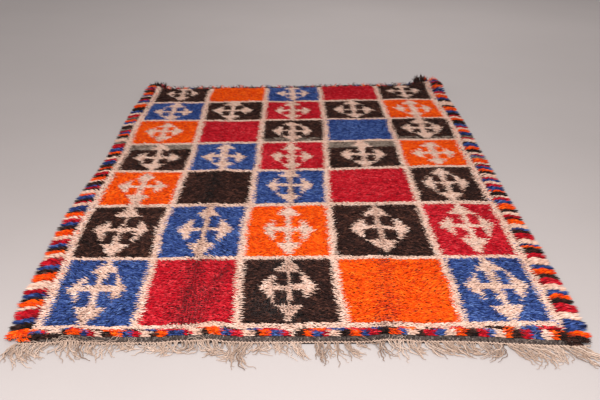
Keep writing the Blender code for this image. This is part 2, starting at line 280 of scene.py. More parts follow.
# the woven design: B blue, R red, O orange, K brown-black, C cream, G grey; rows from near to far
yarnLetters = "BROKCG"
fieldChart = ("BRKOB", "KBOKR", "OKBRK", "KBRKO", "ORKBK", "BKRKO", "KOBRK")
figure = {
    "headShare": 0.46, "headHalf": 0.48, "tip": 0.003, "sideShare": 0.45, "sideUp": 1.04, "sideDown": 1.16,
    "rough": 0.0016, "roughPitch": 0.017,
}
figureKeys = ("x", "y", "wide", "up", "down", "shaft", "bar", "side")
figures = {
    # field row and column: middle of the cross of arrows, half its width, its reach up and down the rug,
    # then half the thickness of shaft and bar and half the height of the side heads
    (0, 0): (-0.614, -1.053, 0.089, 0.192, 0.216, 0.011, 0.015, 0.078),
    (0, 2): (-0.026, -1.042, 0.086, 0.195, 0.196, 0.008, 0.014, 0.086),
    (0, 4): (0.620, -1.043, 0.094, 0.186, 0.227, 0.012, 0.015, 0.088),
    (1, 0): (-0.623, -0.613, 0.094, 0.215, 0.221, 0.009, 0.012, 0.090),
    (1, 1): (-0.325, -0.615, 0.095, 0.206, 0.230, 0.013, 0.014, 0.090),
    (1, 2): (-0.028, -0.614, 0.088, 0.219, 0.205, 0.011, 0.014, 0.086),
    (1, 3): (0.299, -0.606, 0.104, 0.210, 0.204, 0.009, 0.011, 0.092),
    (1, 4): (0.618, -0.582, 0.096, 0.195, 0.217, 0.012, 0.014, 0.088),
    (2, 0): (-0.620, -0.188, 0.093, 0.146, 0.182, 0.014, 0.016, 0.070),
    (2, 2): (-0.023, -0.177, 0.090, 0.178, 0.193, 0.012, 0.013, 0.082),
    (2, 4): (0.613, -0.157, 0.092, 0.172, 0.195, 0.011, 0.011, 0.082),
    (3, 0): (-0.614, 0.163, 0.096, 0.182, 0.162, 0.011, 0.011, 0.066),
    (3, 1): (-0.314, 0.168, 0.092, 0.167, 0.165, 0.015, 0.013, 0.064),
    (3, 2): (-0.016, 0.173, 0.088, 0.174, 0.173, 0.012, 0.013, 0.072),
    (3, 3): (0.303, 0.198, 0.100, 0.200, 0.164, 0.012, 0.012, 0.072),
    (3, 4): (0.623, 0.215, 0.096, 0.158, 0.152, 0.013, 0.011, 0.062),
    (4, 0): (-0.634, 0.542, 0.088, 0.148, 0.158, 0.010, 0.011, 0.066),
    (4, 2): (-0.012, 0.550, 0.094, 0.150, 0.153, 0.012, 0.011, 0.078),
    (4, 4): (0.627, 0.589, 0.099, 0.160, 0.152, 0.014, 0.011, 0.072),
    (5, 0): (-0.634, 0.880, 0.095, 0.170, 0.150, 0.013, 0.013, 0.064),
    (5, 1): (-0.325, 0.907, 0.101, 0.174, 0.178, 0.013, 0.012, 0.068),
    (5, 2): (-0.009, 0.900, 0.093, 0.182, 0.152, 0.015, 0.014, 0.068),
    (5, 3): (0.309, 0.914, 0.101, 0.178, 0.150, 0.011, 0.011, 0.068),
    (5, 4): (0.628, 0.941, 0.099, 0.148, 0.168, 0.017, 0.013, 0.066),
    (6, 0): (-0.626, 1.244, 0.089, 0.140, 0.146, 0.008, 0.006, 0.060),
    (6, 2): (-0.006, 1.243, 0.090, 0.167, 0.133, 0.014, 0.013, 0.062),
    (6, 4): (0.618, 1.292, 0.091, 0.142, 0.150, 0.010, 0.007, 0.050),
}
greyPatches = (                               # bands where the dark wool ran out and a grey one was used
    {"column": 0, "row": 3, "from": 0.79, "to": 1.00, "share": 0.95},
    {"column": 3, "row": 3, "from": 0.77, "to": 1.00, "share": 0.92},
    {"column": 2, "row": 4, "from": 0.00, "to": 0.15, "share": 0.60},
    {"column": 4, "row": 4, "from": 0.00, "to": 0.12, "share": 0.55},
)
greyPitch = 0.012
# runs of the borders: a letter for the yarn and a length in millimetres, sides from near to far
sideStripes = {
    "left": {"start": -1.335, "runs":
             "O55 K35 B22 R58 C20 O32 K20 B23 R27 C48 O60 K25 B28 R52 C37 O25 K23 B23 R45 C30 O47 K38 "
             "B24 R38 C22 O36 K17 B55 C15 R25 K25 B35 O20 C35 K20 R15 B25 K30 C15 O40 K25 R37 C14 K30 "
             "O20 K34 B40 R35 C25 K40 O22 B58 R60 G30 C40 G20 K30 O30 B20 R32 G35 K53 C25 B35 O35 G43 "
             "R47 C30 B45 K65 O55 C35 B35 R25 K50 C20 B25 O35 K25 R12 B20 O20 K60"},
    "right": {"start": -1.325, "runs":
              "O30 B65 C30 R55 K35 O15 B35 C40 R35 K35 O30 B35 C45 R40 K35 O20 B15 C35 R50 K25 B15 "
              "C40 O45 K10 R35 C25 K30 O55 B37 R18 C25 K40 O15 B35 R40 C20 B30 R20 C35 K35 O25 B38 "
              "R14 K20 C18 O45 G25 B20 R20 C20 K45 O45 B45 K17 C38 R25 G35 K10 B55 O35 C30 R20 B40 "
              "K60 O40 C25 R25 K45 B45 O65 K25 C80 K45 B45 O50 C15 R35 B45 O30 K35 R20 B25 O60"},
}
frontBorder = {
    "start": -0.757, "blocks":
    "B39 R20 C31 K22 O34 B22 R22 C20 K22 O31 B28 R20 C28 K25 O31 B39 R22 C25 K25 O34 B28 R34 C28 K22 "
    "O28 B25 R28 C17 K25 O25 B22 R25 C28 K28 O28 B25 R25 K37 O25 B22 C31 K22 R25 B28 C31 O25 K37 R28 "
    "B22 C22 O25 K25 R31 B25 C28 O17 K100",
    "thinStart": -0.780, "thin":
    "O60 K20 C32 B28 R28 O26 K37 O26 K5 O37 K48 B37 R80 C42 O62 K50 C22 B39 R56 C42 K45 O48 B50 R67 "
    "B34 K50 O50 C22 K25 R15 C20 R54 C60 K53 O20 C22 B50 R62 C60",
}
farBorder = {"start": -0.80, "wide": 0.018, "blocks":
             "KKRKOKKRKOKBKKOKRKOKKOKOKRKOKOKKRKOKBKKRKBKRKKBKRKRKKRKRKOKRKKRKBKOKRKKOKRKBKKOKKBKRKOKKOKBK"}
# the two near corners hang forward over the ends of the band
corners = (
    {"from": -0.806, "to": -0.745, "depth": 0.021, "yarn": "O"},
    {"from": -0.745, "to": -0.722, "depth": 0.019, "yarn": "K"},
    {"from": -0.722, "to": -0.667, "depth": 0.013, "yarn": "K"},
    {"from": 0.742, "to": 0.802, "depth": 0.029, "yarn": "K"},
)


def codeOf(letter):
    return yarnLetters.index(letter)


def lettersAt(text, index):
    codes = np.array([codeOf(letter) for letter in text])
    return codes[np.clip(index, 0, len(codes) - 1)]


def runAt(text, start, place):
    # yarn of the run that a place falls in, and the middle of that run
    runs = text.split()
    lengths = np.array([float(run[1:]) / 1000 for run in runs])
    ends = start + np.cumsum(lengths)
    index = np.clip(np.searchsorted(ends, place), 0, len(runs) - 1)
    return lettersAt([run[0] for run in runs], index), (ends - lengths / 2)[index]


def stripeAt(side, y):
    return runAt(sideStripes[side]["runs"], sideStripes[side]["start"], y)


def figureMask(x, y, place, spec):
    # a cross of four arrows: shaft and bar, with a head at each end
    rough = figure["rough"] * softNoise(x, y, figure["roughPitch"], 100 + 10 * place[0] + place[1])
    across, along = np.abs(x - spec["x"]) + rough, y - spec["y"]
    arm = np.where(along > 0, spec["up"], spec["down"])
    along = np.abs(along) + rough
    u, v = across / spec["wide"], along / arm
    shaft = (across < spec["shaft"]) & (v < 1)
    bar = (along < spec["bar"]) & (u < 1)
    headHalf = figure["headHalf"] * spec["wide"] * (1 - v) / figure["headShare"] + figure["tip"]
    head = (v > 1 - figure["headShare"]) & (v < 1) & (across < headHalf)
    sideHalf = spec["side"] * np.where(y > spec["y"], figure["sideUp"], figure["sideDown"])
    sideHalf = sideHalf * (1 - u) / figure["sideShare"] + figure["tip"]
    side = (u > 1 - figure["sideShare"]) & (u < 1) & (along < sideHalf)
    return shaft | bar | head | side


def fieldCells(row, column):
    rows = slice(rowStarts[2 + 2 * row], rowStarts[3 + 2 * row])
    return rows, slice(columnStarts[2 + 2 * column], columnStarts[3 + 2 * column])


def chartYarns(x, y):
    # which yarn each knot is tied with, for the whole grid of knots
    chart = np.full(x.shape, codeOf("C"))
    for r, letters in enumerate(fieldChart):
        for c, letter in enumerate(letters):
            chart[fieldCells(r, c)] = codeOf(letter)
    for patch in greyPatches:
        rows, columns = fieldCells(patch["row"], patch["column"])
        first, deep = rows.start, rows.stop - rows.start
        cells = slice(first + round(deep * patch["from"]), first + round(deep * patch["to"])), columns
        chance = softNoise(x[cells], y[cells], greyPitch, 77 + patch["column"]) * 0.5 + 0.5
        chart[cells][chance < patch["share"]] = codeOf("G")
    for place, values in figures.items():
        cells = fieldCells(*place)
        spec = dict(zip(figureKeys, values))
        chart[cells][figureMask(x[cells], y[cells], place, spec)] = codeOf("C")
    thin = knotGrid["frontRows"] - 1
    chart[:thin] = runAt(frontBorder["blocks"], frontBorder["start"], x[:thin])[0]
    chart[thin] = runAt(frontBorder["thin"], frontBorder["thinStart"], x[thin])[0]
    far = slice(rowStarts[-2], rowStarts[-1])
    block = np.floor((x[far] - farBorder["start"]) / farBorder["wide"]).astype(int)
    chart[far] = lettersAt(farBorder["blocks"], block)
    left, right = slice(0, columnStarts[1]), slice(columnStarts[-2], columnStarts[-1])
    chart[:, left] = stripeAt("left", y[:, left])[0]
    chart[:, right] = stripeAt("right", y[:, right])[0]
    return chart


# one dictionary for the knots: how the two legs of a knot fall, and how thick the yarn is
knots = {
    "jitterX": 0.0012, "jitterY": 0.0008, "cornerPitch": 0.0085, "hemOut": 0.0010,
    "rowShift": 0.0031, "twinShift": 0.0017, "footRise": 0.0030, "footBack": 0.0085,
    "length": 0.0215, "lengthSpread": 0.15, "wide": 0.0026, "tall": 0.0016, "wideSpread": 0.15,
    "lean": 0.12, "leanSpread": 0.06, "patchLean": 0.12, "patchTurn": 0.40, "kneeShare": 0.46,
    "kneeRise": 0.74, "tipRise": 0.93, "riseSpread": 0.07, "slide": 0.0018, "upright": 0.012,
    "uprightLength": 0.7, "uprightRise": 1.2, "leastRun": 0.35, "droop": 0.007, "droopReach": 0.030,
    "endComb": 0.30, "endWidth": 0.016, "endRise": 0.30,
    "spikes": 0.22, "spikeRise": 1.55, "spikeDeep": 0.012,
    "patchPitches": (0.075, 0.026), "turnPitches": (0.095, 0.031),
    "clearance": 0.0022, "frontReach": 0.0042, "frontDrop": 0.9, "hemHeight": 0.66,
    # dyeTone and strandTone are random tone; the front entries are painted shade on the near rows
    "dyeTone": 0.50, "strandTone": 0.85, "frontPaintedShade": 0.5, "frontDeep": 0.012,
    "foldNarrow": 0.0075, "foldDip": 0.30, "foldPaintedShade": 2.1, "foldSlope": 0.020, "foldSlopeShade": 0.40,
    "foldFade": 0.03,
}
sideLocks = {                                 # the locks of the side borders, which fall outward
    # tone here is painted shade on the side locks
    "outward": 3.0, "innerOutward": 0.6, "growLeft": 1.10, "growRight": 1.05, "rise": 0.20, "tone": 0.7,
    "kneeShare": 0.62, "gather": 0.34, "nearLean": -0.04, "farLean": 0.45, "spread": 0.26, "wide": 1.12,
    "farShort": 0.75, "shortFrom": 0.07, "shortOver": 0.06,
}
# tufts that stand up in clumps at the far corners, the right one with orange beside the dark wool
clumps = (
    {"x": 0.732, "y": 1.425, "wide": 0.056, "tiers": 4, "tierRise": 0.010, "knots": 11, "orange": 0.755},
    {"x": -0.772, "y": 1.362, "wide": 0.052, "tiers": 2, "tierRise": 0.006, "knots": 9, "orange": 1.0},
)
clumpGrowth = {
    "deep": 0.020, "length": 0.028, "lengthSpread": 0.18, "lean": 0.35, "fan": 1.2,
    "wide": 1.3, "foot": 0.6,
}
# fold lines, where the pile parts and painted shade darkens the crease and the slope to its right
foldKeys = ("near", "far", "width", "slant", "pull", "shade")
foldLines = (
    ((-0.336, -1.300), (-0.320, -0.830), 0.040, 0.55, 1.10, 0.66),
    ((-0.326, -0.850), (-0.324, -0.380), 0.028, 0.20, 0.80, 0.55),
    ((-0.345, -0.400), (-0.340, 0.000), 0.030, 0.20, 0.60, 0.70),
    ((-0.302, -1.290), (-0.222, -0.900), 0.040, 0.60, 0.90, 0.42),
    ((-0.018, -1.300), (-0.026, -0.840), 0.034, 0.30, 0.95, 0.50),
    ((0.263, -1.300), (0.288, -0.850), 0.034, 0.10, 0.70, 0.25),
    ((0.296, -0.860), (0.300, -0.380), 0.022, 0.00, 0.70, 0.45),
    ((-0.012, -0.380), (-0.018, 0.050), 0.022, 0.00, 0.70, 0.40),
    ((0.000, 0.380), (-0.006, 1.120), 0.020, 0.00, 0.50, 0.40),
    ((-0.645, -1.320), (-0.615, -1.180), 0.045, 0.20, 0.50, 0.15),
)
# places where the pile was brushed another way
brushed = (
    {"x": -0.085, "y": -1.15, "size": 0.075, "dx": 0.75, "dy": -1.60},
    {"x": 0.24, "y": -1.27, "size": 0.05, "dx": 0.60, "dy": -0.90},
    {"x": -0.60, "y": -1.15, "size": 0.16, "dx": 0.10, "dy": -0.25},
    {"x": 0.62, "y": -1.00, "size": 0.16, "dx": -0.15, "dy": -0.30},
    {"x": -0.06, "y": -0.90, "size": 0.07, "dx": -0.40, "dy": -0.90},
    {"x": -0.775, "y": -1.302, "size": 0.026, "dx": -0.60, "dy": -3.20},
)


def frontAt(x):
    # near edge of the pile, which the corners carry forward
    edge = nearEdge(x)
    for corner in corners:
        edge = edge - np.where((x >= corner["from"]) & (x < corner["to"]), corner["depth"], 0.0)
    return edge


def hemKnots(x, yarn, way, middle):
    # one more row of knots on the near edge, whose legs hang down it
    x, yarn, way, middle = (grid[:columnStarts[-1]] for grid in (x, yarn, way, middle))
    for corner in corners:
        yarn = np.where((x >= corner["from"]) & (x < corner["to"]), codeOf(corner["yarn"]), yarn)
    return x, frontAt(x) - knots["hemOut"], yarn, x * 0, way, middle


def cornerKnots(corner):
    # rows of knots beside the end of the band
    x, depth = np.meshgrid(np.arange(corner["from"], corner["to"], knots["cornerPitch"]),
                           np.arange(knots["cornerPitch"] / 2, corner["depth"], knots["cornerPitch"]))
    x, depth = x.ravel(), depth.ravel()
    y = nearEdge(x) - depth
    return x, y, np.full(x.shape, codeOf(corner["yarn"])), x * 0, x * 0, y


def placeKnots():
    # places of all knots, their yarn, and how far out in a side border they stand
    chance = np.random.default_rng(11)
    column, row = knotPlaces()
    x, y = gridPoint(column, row)
    yarn = chartYarns(x, y)
    sideColumns = knotGrid["sideColumns"]
    fromLeft, fromRight = np.ceil(sideColumns - column), np.ceil(column - columnStarts[-1] + sideColumns)
    rank = np.clip(np.maximum(fromLeft, fromRight), 0, sideColumns)
    way = np.where(column < columnStarts[-1] / 2, -1, 1)
    middle = np.where(way < 0, stripeAt("left", y)[1], stripeAt("right", y)[1])
    x, y, yarn, rank, way, middle = (grid.ravel() for grid in (x, y, yarn, rank, way, middle))
    more = [hemKnots(x, yarn, way, middle)] + [cornerKnots(corner) for corner in corners]
    grids = zip((x, y, yarn, rank, way, middle), *more)
    x, y, yarn, rank, way, middle = (np.concatenate(values) for values in grids)
    x += chance.normal(0, knots["jitterX"], x.shape)
    y += chance.normal(0, knots["jitterY"], y.shape)
    return x, y, yarn, {"rank": rank / sideColumns, "way": way, "middle": middle}


def foldAt(x, y):
    # pull of the folds on the pile, and how deep in a fold a place lies, which lowers the pile and sets the
    # painted shade of the fold
    dx, dy, depth = np.zeros_like(x), np.zeros_like(x), np.zeros_like(x)
    for fold in (dict(zip(foldKeys, values)) for values in foldLines):
        near, far = np.array(fold["near"]), np.array(fold["far"])
        length = np.linalg.norm(far - near)
        run = (far - near) / length
        down = (x - near[0]) * run[0] + (y - near[1]) * run[1]
        side = (x - near[0]) * run[1] - (y - near[1]) * run[0]
        edge = knots["foldFade"]
        fade = ease((down + edge) / (2 * edge)) * ease((length - down + edge) / (2 * edge))
        weight = np.exp(-(side / fold["width"]) ** 2) * fade
        dx += fold["slant"] * weight
        dy -= fold["pull"] * weight
        # painted shade on the slope to the right of a crease, which faces away from the lamp
        slope = np.exp(-((side - knots["foldSlope"]) / knots["foldSlope"]) ** 2) * knots["foldSlopeShade"]
        core = np.maximum(np.exp(-(side / knots["foldNarrow"]) ** 2), slope)
        depth = np.maximum(depth, core * fade * fold["shade"])
    return dx, dy, depth


def combAt(x, y):
    # how the pile is brushed, on top of the fall of each leg to its own side
    dx, dy, depth = foldAt(x, y)
    for spot in brushed:
        weight = np.exp(-((x - spot["x"]) ** 2 + (y - spot["y"]) ** 2) / spot["size"] ** 2)
        dx += spot["dx"] * weight
        dy += spot["dy"] * weight
    dy += knots["endComb"] * (1 - ease((farEdge(x) - y) / knots["endWidth"]))
    dy -= knots["endComb"] * (1 - ease((y - nearEdge(x)) / knots["endWidth"]))
    return dx, dy, depth


def outsideBy(x, y):
    # how far a plan point lies past the edge of the ground
    past = np.maximum(leftEdge(y) - x, x - rightEdge(y))
    return np.maximum(np.maximum(past, y - farEdge(x)), 0.0)


def growStrands(x, y, side):
    # foot, knee and tip of the four strands of each knot, two to a side
    chance = np.random.default_rng(23)
    count = x.shape
    combX, combY, depth = combAt(x, y)
    rank, atSide = side["rank"], side["rank"] > 0
    outward = np.where(rank > 0.3, sideLocks["outward"], sideLocks["innerOutward"])
    combX = combX * (1 - rank) + np.where(atSide, side["way"] * outward, 0)
    combY = combY * (1 - rank)
    grow = np.where(side["way"] < 0, sideLocks["growLeft"], sideLocks["growRight"])
    short = ease((y - farEdge(x) + sideLocks["shortFrom"]) / sideLocks["shortOver"])
    grow = 1 + rank * grow * (1 - sideLocks["farShort"] * short)
    wide, narrow = knots["patchPitches"]
    patch = softNoise(x, y, wide, 3) + 0.5 * softNoise(x, y, narrow, 4)
    wide, narrow = knots["turnPitches"]
    turn = knots["patchTurn"] * (softNoise(x, y, wide, 5) + 0.4 * softNoise(x, y, narrow, 6)) * ~atSide
    along = np.clip((y - outline["nearEdge"]) / outline["pileLength"], 0, 1)
    sideLean = sideLocks["nearLean"] + (sideLocks["farLean"] - sideLocks["nearLean"]) * along
    spread = np.where(atSide, sideLocks["spread"], 1.0)
    pile = (topAt(x, y) - liftAt(x, y)) * (1 - knots["foldDip"] * depth)
    dye = chance.normal(0, 1, count)
    kneeShare = np.where(atSide, sideLocks["kneeShare"], knots["kneeShare"])
    parts = []
    for way, twin in ((-1, -1), (-1, 1), (1, -1), (1, 1)):
        lean = knots["lean"] + knots["patchLean"] * patch
        lean = lean + chance.normal(0, knots["leanSpread"], count) * spread
        angle = turn + chance.normal(0, knots["leanSpread"], count) * spread
        dx = way * np.cos(angle) + combX
        dy = np.where(atSide, 0.0, way * np.sin(angle) - np.sin(lean) + combY)
        norm = np.maximum(np.hypot(dx, dy), knots["leastRun"])
        dx, dy = dx / norm, dy / norm
        length = knots["length"] * grow * (1 + chance.normal(0, knots["lengthSpread"], count) * spread)
        gather = sideLocks["gather"] * (side["middle"] - y) / length + sideLean + np.sin(angle) * 0.5
        dy = np.where(atSide, gather, dy)
        rise = 1 + chance.normal(0, knots["riseSpread"], count) - sideLocks["rise"] * rank
        rise += knots["endRise"] * (1 - ease((farEdge(x) - y) / knots["endWidth"])) * (1 - rank)
        rise = np.where(y < frontAt(x), knots["hemHeight"], rise)
        spike = (y > farEdge(x) - knots["spikeDeep"]) & (chance.random(count) < knots["spikes"])
        rise *= np.where(spike, knots["spikeRise"], 1.0)
        stands = (chance.random(count) < knots["upright"]) & ~atSide
        length = np.where(stands, length * knots["uprightLength"], length)
        rise = np.where(stands, rise * knots["uprightRise"], rise)
        shift = -way * knots["rowShift"] + twin * knots["twinShift"]
        back = knots["footBack"] * (1 - rank) + chance.normal(0, knots["slide"], count)
        points = []
        for share, level in ((0.0, 0.0), (kneeShare, knots["kneeRise"]), (1.0, knots["tipRise"])):
            px = x + dx * (length * share - back)
            py = y + shift * (0.5 + 0.5 * np.minimum(share * 3, 1))
            py = py - twin * knots["twinShift"] * 0.5 * share + dy * (length * share - back)
            over = np.maximum(frontAt(x) - py, 0.0)
            kept = knots["frontReach"] * (1 - np.exp(-over / knots["frontReach"]))
            py = py + over - kept
            base = liftAt(px, py)
            z = base + knots["footRise"] + (pile * rise - knots["footRise"]) * level
            z -= knots["droop"] * ease(outsideBy(px, py) / knots["droopReach"]) * level
            z -= knots["frontDrop"] * (over - kept) * level
            points.append(np.stack([px, py, np.maximum(z, base + knots["clearance"])], -1))
        wide = knots["wide"] * np.clip(1 + chance.normal(0, knots["wideSpread"], count), 0.6, 1.5)
        wide = np.where(atSide, wide * sideLocks["wide"], wide)
        tone = knots["dyeTone"] * dye + knots["strandTone"] * chance.normal(0, 1, count)
        # painted shade along the folds, darkest in the crease
        tone -= knots["foldPaintedShade"] * depth
        # painted shade on the side locks and on the near rows that hang down over the edges
        tone -= sideLocks["tone"] * atSide + knots["frontPaintedShade"] * (y < nearEdge(x) + knots["frontDeep"])
        parts.append(points + [wide, tone])
    return [np.concatenate(values) for values in zip(*parts)]


def growClumps():
    # strands of the clumps: tiers of knots above one another, their legs upright
    chance = np.random.default_rng(29)
    parts = []
    for clump in clumps:
        count = 4 * clump["knots"]
        for tier in range(clump["tiers"]):
            place = chance.uniform(-0.5, 0.5, count)
            x = clump["x"] + clump["wide"] * place
            y = clump["y"] + clumpGrowth["deep"] * chance.uniform(-0.5, 0.5, count)
            z = topAt(x, y) * clumpGrowth["foot"] + tier * clump["tierRise"] * (1 - np.abs(place))
            length = clumpGrowth["length"] * (1 + chance.normal(0, clumpGrowth["lengthSpread"], count))
            lean = chance.normal(0, clumpGrowth["lean"], count) + clumpGrowth["fan"] * place
            run = np.stack([np.sin(lean), np.sin(chance.normal(0.15, 0.25, count)), np.cos(lean)], -1)
            foot = np.stack([x, y, z], -1)
            yarn = np.where(x > clump["orange"], codeOf("O"), codeOf("K"))
            wide = np.full(count, knots["wide"] * clumpGrowth["wide"])
            tone = chance.normal(-0.3, 0.9, count)
            knee, tip = foot + run * (0.4 * length)[:, None], foot + run * length[:, None]
            parts.append([foot, knee, tip, wide, tone, yarn])
    return [np.concatenate(values) for values in zip(*parts)]


def strandMesh(name, feet, mids, tips, wides, tones):
    # every strand is a closed spindle: a foot, three points round its middle, a tip
    count = len(feet)
    chance = np.random.default_rng(count)
    run = tips - feet
    run /= np.linalg.norm(run, axis=1)[:, None]
    across = np.stack([-run[:, 1], run[:, 0], np.zeros(count)], -1)
    across /= np.maximum(np.linalg.norm(across, axis=1), 1e-6)[:, None]
    rise = np.cross(run, across)
    verts = np.zeros((count, 5, 3))
    verts[:, 0], verts[:, 4] = feet, tips
    turn = chance.uniform(-0.5, 0.5, count)
    for k in range(3):
        angle = math.pi / 2 + turn + k * 2 * math.pi / 3
        offset = across * (np.cos(angle) * wides)[:, None]
        offset += rise * (np.sin(angle) * wides * knots["tall"] / knots["wide"])[:, None]
        verts[:, 1 + k] = mids + offset
    around = [(1 + k, 1 + (k + 1) % 3) for k in range(3)]
    pattern = np.array([(0, b, a) for a, b in around] + [(a, b, 4) for a, b in around])
    faces = (np.arange(count) * 5)[:, None, None] + pattern[None]
    mesh = bpy.data.meshes.new(name)
    mesh.vertices.add(count * 5)
    mesh.loops.add(count * 18)
    mesh.polygons.add(count * 6)
    mesh.vertices.foreach_set("co", verts.astype(np.float32).ravel())
    mesh.loops.foreach_set("vertex_index", faces.astype(np.int32).ravel())
    mesh.polygons.foreach_set("loop_start", (np.arange(count * 6) * 3).astype(np.int32))
    mesh.polygons.foreach_set("loop_total", np.full(count * 6, 3, np.int32))
    mesh.polygons.foreach_set("use_smooth", np.zeros(count * 6, bool))    # facets read as crisp yarn
    addPointValue(mesh, "yarnTone", np.repeat(tones, 5))
    # share along the strand, from foot to tip, which sets the painted shade at its foot
    addPointValue(mesh, "paintedShadeShare", np.tile([0, 0.5, 0.5, 0.5, 1.0], count))
    # each strand unwraps into a cell of its own
    cells = int(math.ceil(math.sqrt(count)))
    cellPlace = np.stack([np.arange(count) % cells, np.arange(count) // cells], -1)
    faceCorners = [[(k + 0.5) / 3, 0.0, (k + 1) / 3, 0.5, k / 3, 0.5] for k in range(3)]
    faceCorners += [[k / 3, 0.5, (k + 1) / 3, 0.5, (k + 0.5) / 3, 1.0] for k in range(3)]
    cell = np.array(faceCorners).reshape(-1, 2) * 0.9 + 0.05
    layer = mesh.uv_layers.new(name="OFBake")
    layer.data.foreach_set("uv", ((cell[None] + cellPlace[:, None]) / cells).astype(np.float32).ravel())
    mesh.update()
    mesh.validate()
    return mesh


def addPointValue(mesh, name, values):
    attribute = mesh.attributes.new(name, "FLOAT", "POINT")
    attribute.data.foreach_set("value", np.asarray(values, np.float32))


def addPiece(name, mesh, material):
    mesh.materials.append(material)
    piece = bpy.data.objects.new(name, mesh)
    bpy.context.scene.collection.objects.link(piece)
    return piece


# finishes: colours as seen on the wool, in 0 to 255, and under "foot" the painted shade at a strand's foot
woolNames = ("blue", "red", "orange", "brown-black", "undyed", "grey")
woolColours = {
    "blue": {"deep": (18, 24, 52), "low": (32, 48, 98), "main": (49, 70, 126), "pale": (88, 111, 162)},
    "red": {"deep": (108, 4, 15), "low": (152, 8, 22), "main": (180, 18, 33), "pale": (206, 60, 66),
            "foot": 0.66},
    "orange": {"deep": (176, 38, 2), "low": (206, 58, 2), "main": (222, 77, 4), "pale": (240, 110, 26),
               "foot": 0.72},
    "brown-black": {"deep": (15, 8, 7), "low": (32, 19, 16), "main": (48, 28, 24), "pale": (90, 55, 44)},
    "undyed": {"deep": (188, 146, 126), "low": (202, 163, 144), "main": (211, 176, 157),
               "pale": (224, 197, 183), "foot": 0.88},
    "grey": {"deep": (66, 52, 45), "low": (103, 86, 76), "main": (127, 110, 98), "pale": (160, 145, 132)},
}
woolFinish = {
    "roughness": 0.95, "sheen": 0.06, "sheenRoughness": 0.5, "specular": 0.06, "toneReach": 2.2,
    "stops": {"deep": 0.04, "low": 0.30, "main": 0.58, "pale": 0.96},
    "footShade": 0.58, "footReach": 0.50, "fieldPitch": 5.0, "fieldShare": 0.20, "fibrePitch": 900.0,
    "fibreBump": 0.30, "fibreDepth": 0.0005,
}


def fromPicture(colour):
    # 0 to 255 as seen, to linear light
    values = [value / 255 for value in colour]
    light = [value / 12.92 if value <= 0.04045 else ((value + 0.055) / 1.055) ** 2.4 for value in values]
    return light + [1.0]


def newMaterial(name):
    material = bpy.data.materials.new(name)
    material.use_nodes = True
    tree = material.node_tree
    return material, tree, tree.nodes["Principled BSDF"]


def addNode(tree, kind, sockets=None, **settings):
    node = tree.nodes.new(kind)
    for key, value in settings.items():
        setattr(node, key, value)
    setSockets(node, sockets or {})
    return node


def setSockets(node, sockets):
    # a value is set, and the output of another node is linked
    for name, value in sockets.items():
        if isinstance(value, bpy.types.NodeSocket):
            node.id_data.links.new(value, node.inputs[name])
        else:
            node.inputs[name].default_value = value


def addClouds(tree, scale, detail):
    place = addNode(tree, "ShaderNodeTexCoord").outputs["Object"]
    sockets = {"Vector": place, "Scale": scale, "Detail": detail}
    return addNode(tree, "ShaderNodeTexNoise", sockets).outputs["Fac"]


def addMultiply(tree, colour, shade):
    return addNode(tree, "ShaderNodeMix", {"Factor": 1.0, "A": colour, "B": shade},
                   data_type="RGBA", blend_type="MULTIPLY").outputs["Result"]


def addBump(tree, height, strength, distance):
    sockets = {"Height": height, "Strength": strength, "Distance": distance}
    return addNode(tree, "ShaderNodeBump", sockets).outputs["Normal"]


def woolMaterial(name, colours):
    material, tree, shader = newMaterial(name)
    finish, reach = woolFinish, woolFinish["toneReach"]
    tone = addNode(tree, "ShaderNodeAttribute", attribute_name="yarnTone").outputs["Fac"]
    share = addNode(tree, "ShaderNodeAttribute", attribute_name="paintedShadeShare").outputs["Fac"]
    field, fibre = addClouds(tree, finish["fieldPitch"], 4.0), addClouds(tree, finish["fibrePitch"], 2.0)
    spread = addNode(tree, "ShaderNodeMapRange", {"Value": tone, "From Min": -reach, "From Max": reach})
    shift = addNode(tree, "ShaderNodeMath",
                    {0: field, 1: finish["fieldShare"] * 2, 2: -finish["fieldShare"]},
                    operation="MULTIPLY_ADD")
    total = addNode(tree, "ShaderNodeMath", {0: spread.outputs["Result"], 1: shift.outputs["Value"]},
                    operation="ADD", use_clamp=True)
    ramp = addNode(tree, "ShaderNodeValToRGB", {"Fac": total.outputs["Value"]})
    stops = ramp.color_ramp.elements
    for stop, key in zip(stops, ("deep", "pale")):
        stop.position, stop.color = finish["stops"][key], fromPicture(colours[key])
    for key in ("low", "main"):
        stops.new(finish["stops"][key]).color = fromPicture(colours[key])
    # painted shade: each strand darkens towards its foot, where the pile around it shades it
    foot = colours.get("foot", finish["footShade"])
    sockets = {"Value": share, "To Min": foot, "From Max": finish["footReach"]}
    shade = addNode(tree, "ShaderNodeMapRange", sockets)
    setSockets(shader, {
        "Base Color": addMultiply(tree, ramp.outputs["Color"], shade.outputs["Result"]),
        "Normal": addBump(tree, fibre, finish["fibreBump"], finish["fibreDepth"]),
        "Roughness": finish["roughness"], "Specular IOR Level": finish["specular"],
        "Sheen Weight": finish["sheen"], "Sheen Roughness": finish["sheenRoughness"],
    })
    return material


def triangleCount(mesh):
    return sum(len(p.vertices) - 2 for p in mesh.polygons)


pieceLimit = 32000                            # strands a piece may hold


